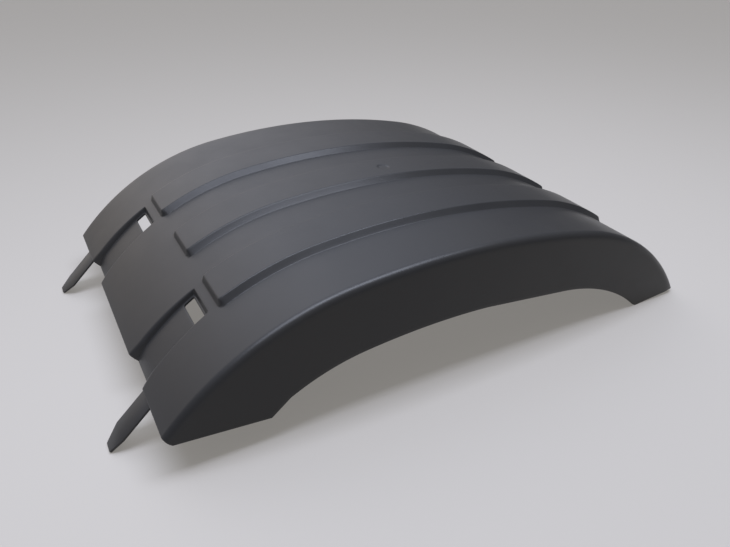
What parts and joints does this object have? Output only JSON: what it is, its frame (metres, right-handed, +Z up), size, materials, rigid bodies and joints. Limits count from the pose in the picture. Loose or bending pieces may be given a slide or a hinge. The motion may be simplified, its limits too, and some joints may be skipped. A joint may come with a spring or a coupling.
{
  "type": "truck mudguard",
  "caption": "Arched wheel guard shell with raised lengthwise ribs, strap channels with slots, hooking tongues and a deep side skirt.",
  "frame": {"origin": "bottom centre of the bounding box, level with the lowest corner of the tongue tips; the arch stands level, with both end edges at one height", "axes": "+X along the direction of travel of the wheel, from the end with the tongues to the plain end; +Y across the tyre, from the skirt to the lipped side; +Z up"},
  "size_m": [1.0566, 0.64, 0.2655],
  "materials": {
    "moulded_plastic": "satin charcoal polypropylene, faintly grained"
  },
  "bodies": {
    "root": {"mudguard_shell": "moulded_plastic"}
  },
  "joints": []
}
